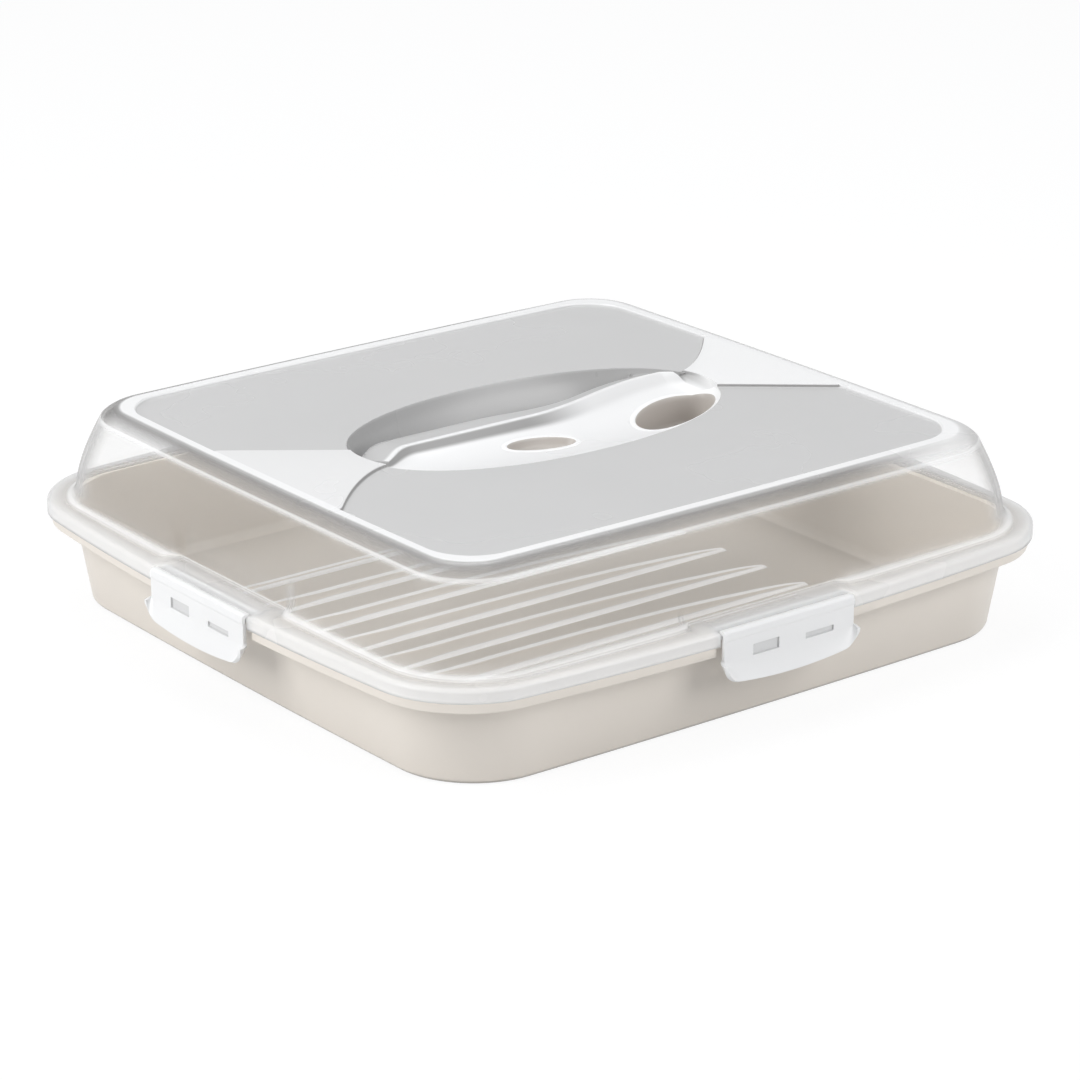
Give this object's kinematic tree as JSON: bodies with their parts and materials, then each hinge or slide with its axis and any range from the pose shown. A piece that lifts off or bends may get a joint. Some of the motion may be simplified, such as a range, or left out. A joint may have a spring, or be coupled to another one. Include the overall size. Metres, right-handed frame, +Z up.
{
  "type": "cake carrier",
  "caption": "Square cake carrier: ribbed tray under a translucent hood with a sunk carrying grip on top, held by a hinged clip at the middle of each side.",
  "frame": {"origin": "middle of the tray's underside", "axes": "+X along the carrying grip, +Y to the back, +Z up"},
  "size_m": [0.468, 0.448, 0.115],
  "materials": {
    "tray_plastic": "warm off-white moulded polypropylene, satin",
    "hood_plastic": "frosted translucent moulded polypropylene",
    "clip_plastic": "milky moulded polypropylene, satin"
  },
  "bodies": {
    "tray": {"tray": "tray_plastic"},
    "lid": {"lid": "hood_plastic"},
    "clip_front": {"clip_front": "clip_plastic"},
    "clip_back": {"clip_back": "clip_plastic"},
    "clip_left": {"clip_left": "clip_plastic"},
    "clip_right": {"clip_right": "clip_plastic"}
  },
  "joints": [
    {"name": "lid_lift", "type": "slide", "parent": "tray", "child": "lid", "axis": [0, 0, 1], "range_m": [0, 0.13]},
    {"name": "front_clip_hinge", "type": "hinge", "parent": "lid", "child": "clip_front", "pos_m": [0, -0.2165, 0.0593], "axis": [-1, 0, 0], "range_deg": [0, 120]},
    {"name": "back_clip_hinge", "type": "hinge", "parent": "lid", "child": "clip_back", "pos_m": [0, 0.2165, 0.0593], "axis": [1, 0, 0], "range_deg": [0, 120]},
    {"name": "left_clip_hinge", "type": "hinge", "parent": "lid", "child": "clip_left", "pos_m": [-0.2265, 0, 0.0593], "axis": [0, 1, 0], "range_deg": [0, 120]},
    {"name": "right_clip_hinge", "type": "hinge", "parent": "lid", "child": "clip_right", "pos_m": [0.2265, 0, 0.0593], "axis": [0, -1, 0], "range_deg": [0, 120]}
  ]
}
